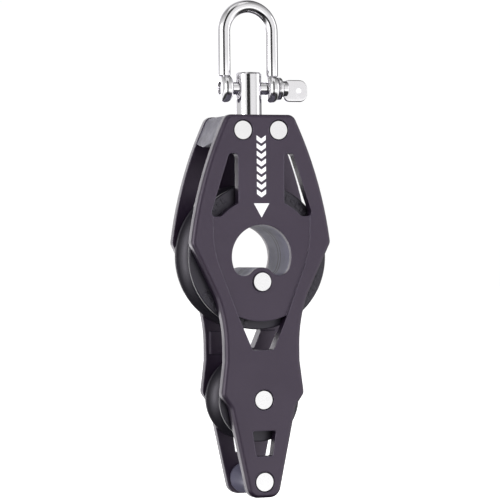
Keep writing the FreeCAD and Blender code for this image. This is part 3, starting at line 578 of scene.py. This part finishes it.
def makePin(shape):
    face = shape["earFace"]
    outer = face + shape["collarWall"]
    shaftLength = face - shape["start"] + shape["shaftInCollar"]
    pin = rod(shape["radius"], (shape["start"], 0, pinLevel), shaftLength, edge=shape["tipEdge"])
    pin.name = pin.data.name = "shackle_screw_pin"
    collar = rod(shape["collar"], (face, 0, pinLevel), shape["collarWall"], sides=shape["collarSides"],
                 edge=shape["collarEdge"], steps=shape["collarSteps"])
    throat = rod(shape["throat"], (outer - shape["overlap"], 0, pinLevel),
                 shape["throatWall"] + shape["throatInTab"],
                 edge=shape["throatEdge"], steps=shape["throatSteps"])
    tabStart = outer + shape["throatWall"] * shape["tabInThroat"]
    tabEnd = outer + shape["throatWall"] + shape["tabReach"]
    tabLevel = pinLevel - shape["tabFall"]
    weld(pin, [collar, throat, makeTab(shape, tabStart, tabEnd, tabLevel)])
    reach = shape["drillReach"]
    hole = (shape["holePlace"], -reach, tabLevel)
    drill(pin, rod(shape["tabHole"], hole, 2 * reach, way="Y", sides=shape["holeSides"]))
    return pin


pin = makePin(pinShape)
print("pin", len(pin.data.polygons), "faces")


flangeMarks = {
    "inner": 24.9 * mm, "outer": 27.3 * mm, "face": 8.7 * mm, "proud": 0.22 * mm, "sunk": 0.2 * mm,
    "groups": 4, "dashes": 9, "step": 5.6, "start": 12, "width": 1.5 * mm, "edge": 0.1 * mm,
    "short": 0.55, "shortEvery": 3,
}


def makeDash(shape, share):        # one raised dash, straight above the axle on the front face
    clearSelection()
    depth = shape["face"] + (shape["proud"] - shape["sunk"]) / 2
    middle = (shape["inner"] + shape["outer"]) / 2
    bpy.ops.mesh.primitive_cube_add(size=1, location=(0, -depth, middle))
    dash = bpy.context.active_object
    length = (shape["outer"] - shape["inner"]) * share
    dash.scale = (shape["width"], shape["proud"] + shape["sunk"], length)
    settle(dash)
    useModifier(dash, "BEVEL", width=shape["edge"], segments=2)
    return dash


def copyDash(dash, side, angle):        # half a turn about the upright axis brings it to the rear face
    pick(dash)
    bpy.ops.object.duplicate(linked=False)
    copy = bpy.context.active_object
    turned = Matrix.Rotation(angle, 4, "Y")
    if side < 0:
        turned = turned @ Matrix.Rotation(math.pi, 4, "Z")
    copy.matrix_world = turned
    settle(copy)
    return copy


def makeFlangeMarks(shape):
    longDash, shortDash = makeDash(shape, 1.0), makeDash(shape, shape["short"])
    dashes = []
    for side in (1, -1):
        for group in range(shape["groups"]):
            for place in range(shape["dashes"]):
                turn = group * 360 / shape["groups"] + place * shape["step"] + shape["start"]
                dash = shortDash if place % shape["shortEvery"] == 1 else longDash
                dashes.append(copyDash(dash, side, math.radians(turn)))
    bpy.data.objects.remove(longDash)
    bpy.data.objects.remove(shortDash)
    return joinPieces(dashes, "flange_dashes")


marks = makeFlangeMarks(flangeMarks)
print("flange dashes made")

for piece, finish, body, slot in (
        (bow, stainless, "shackle", "stainless"), (pin, stainless, "shackle_pin", "stainless"),
        (marks, mainSheaveAcetal, "main_sheave", "sheave")):
    finishPiece(piece, finish)
    pick(piece)
    bpy.ops.object.shade_smooth_by_angle(angle=math.radians(40))
    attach(piece, body)
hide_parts("shackle_bow")
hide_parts("shackle_pin")


room = {
    "floorDrop": -0.122, "floorSize": 12.0, "floorColour": (0.9, 0.9, 0.9),
    "floorShade": (0.88, 0.88, 0.88), "floorGlow": 0.85, "floorGrain": 6.0, "floorRough": 0.8,
    "backdrop": 1.02,
}

clearSelection()
bpy.ops.mesh.primitive_plane_add(size=room["floorSize"], location=(0, 0, room["floorDrop"]))
floor = bpy.context.active_object
floor.name = "pale_floor"
settle(floor)
floorFinish, tree, shader = newFinish("pale_floor_paint", {"colour": room["floorColour"]})
shader.inputs["Roughness"].default_value = room["floorRough"]
shader.inputs["Emission Color"].default_value = (1, 1, 1, 1)
seen = tree.nodes.new("ShaderNodeLightPath").outputs["Is Camera Ray"]
plug(tree, calc(tree, "MULTIPLY", seen, room["floorGlow"]), shader.inputs["Emission Strength"])
floorColour = blendColour(tree, noise(tree, room["floorGrain"]), room["floorShade"], room["floorColour"])
plug(tree, floorColour, shader.inputs["Base Color"])
upward = tree.nodes.new("ShaderNodeMixShader")        # clear when seen from below
plug(tree, tree.nodes.new("ShaderNodeNewGeometry").outputs["Backfacing"], upward.inputs[0])
plug(tree, shader.outputs[0], upward.inputs[1])
plug(tree, tree.nodes.new("ShaderNodeBsdfTransparent").outputs[0], upward.inputs[2])
plug(tree, upward.outputs[0], tree.nodes["Material Output"].inputs["Surface"])
finishPiece(floor, floorFinish)
floor.visible_glossy = False

skyBands = [        # compass angle from +X towards +Y, and brightness
    (0.0, 0.55), (12.0, 0.5), (24.0, 0.25), (60.0, 0.25), (68.0, 1.3), (117.0, 1.3), (124.0, 0.72),
    (172.0, 0.72), (188.0, 0.95), (235.0, 1.05), (238.5, 0.03), (266.0, 0.03), (269.5, 0.95),
    (280.0, 0.98), (306.0, 0.98), (325.0, 0.8),
]
skyLevels = {        # direction's height from and to, and what it multiplies by
    "ground": (-0.6, -0.34, 0.03, 1.0), "top": (0.35, 0.9, 1.0, 0.35),
    "low": (-0.06, -0.25, 1.0, 5.2 / 3),
}
rampScale = 3.0        # a colour ramp stops at 1, so it holds a third of each brightness

world = bpy.data.worlds.new("studio_sky")
bpy.context.scene.world = world
world.use_nodes = True
tree = world.node_tree
tree.nodes.clear()
split = tree.nodes.new("ShaderNodeSeparateXYZ")
plug(tree, tree.nodes.new("ShaderNodeTexCoord").outputs["Generated"], split.inputs[0])
angle = calc(tree, "ARCTAN2", split.outputs[1], split.outputs[0])
turn = calc(tree, "FRACT", calc(tree, "ADD", calc(tree, "DIVIDE", angle, 2 * math.pi), 1.0))
bands = tree.nodes.new("ShaderNodeValToRGB")
plug(tree, turn, bands.inputs[0])
ramp = bands.color_ramp
for place, (degrees, bright) in enumerate(skyBands):
    stop = ramp.elements[place] if place < 2 else ramp.elements.new(degrees / 360)
    stop.position = degrees / 360
    stop.color = (bright / rampScale, bright / rampScale, bright / rampScale, 1)
strength = rampScale
for level in skyLevels.values():
    strength = calc(tree, "MULTIPLY", strength, stretch(tree, split.outputs[2], *level))
sky = tree.nodes.new("ShaderNodeBackground")
plug(tree, bands.outputs["Color"], sky.inputs["Color"])
plug(tree, strength, sky.inputs["Strength"])
backdrop = tree.nodes.new("ShaderNodeBackground")
backdrop.inputs["Color"].default_value = (1, 1, 1, 1)
backdrop.inputs["Strength"].default_value = room["backdrop"]
mixed = tree.nodes.new("ShaderNodeMixShader")
plug(tree, tree.nodes.new("ShaderNodeLightPath").outputs["Is Camera Ray"], mixed.inputs[0])
plug(tree, sky.outputs[0], mixed.inputs[1])
plug(tree, backdrop.outputs[0], mixed.inputs[2])
plug(tree, mixed.outputs[0], tree.nodes.new("ShaderNodeOutputWorld").inputs["Surface"])

lamps = {        # angle as for the sky; a lamp without shine lights matt surfaces only
    "back_left_box": {"angle": 97.0, "up": 4.0, "away": 0.9, "size": (0.6, 0.7), "watts": 1.7},
    "left_strip": {"angle": 205.0, "up": 6.0, "away": 0.9, "size": (0.35, 0.7), "watts": 3.0},
    "top_box": {"angle": 250.0, "up": 75.0, "away": 0.9, "size": (0.7, 0.5), "watts": 0.7},
    "right_fill": {"angle": 345.0, "up": 12.0, "away": 1.1, "size": (0.4, 0.7), "watts": 1.0},
    "front_matt": {"angle": 285.0, "up": 25.0, "away": 0.9, "size": (0.5, 0.5), "watts": 5.0,
                   "shine": False},
}
for name, lamp in lamps.items():
    across, up = math.radians(lamp["angle"]), math.radians(lamp["up"])
    outward = Vector((math.cos(across) * math.cos(up), math.sin(across) * math.cos(up), math.sin(up)))
    clearSelection()
    bpy.ops.object.light_add(type="AREA", location=outward * lamp["away"])
    light = bpy.context.active_object
    light.name = name
    light.rotation_euler = outward.to_track_quat("Z", "Y").to_euler()
    light.data.shape = "RECTANGLE"
    light.data.size, light.data.size_y = lamp["size"]
    light.data.energy = lamp["watts"]
    light.visible_camera = False
    light.visible_glossy = lamp.get("shine", True)
bpy.context.scene.view_settings.view_transform = "Standard"
print("floor, sky and lamps set")
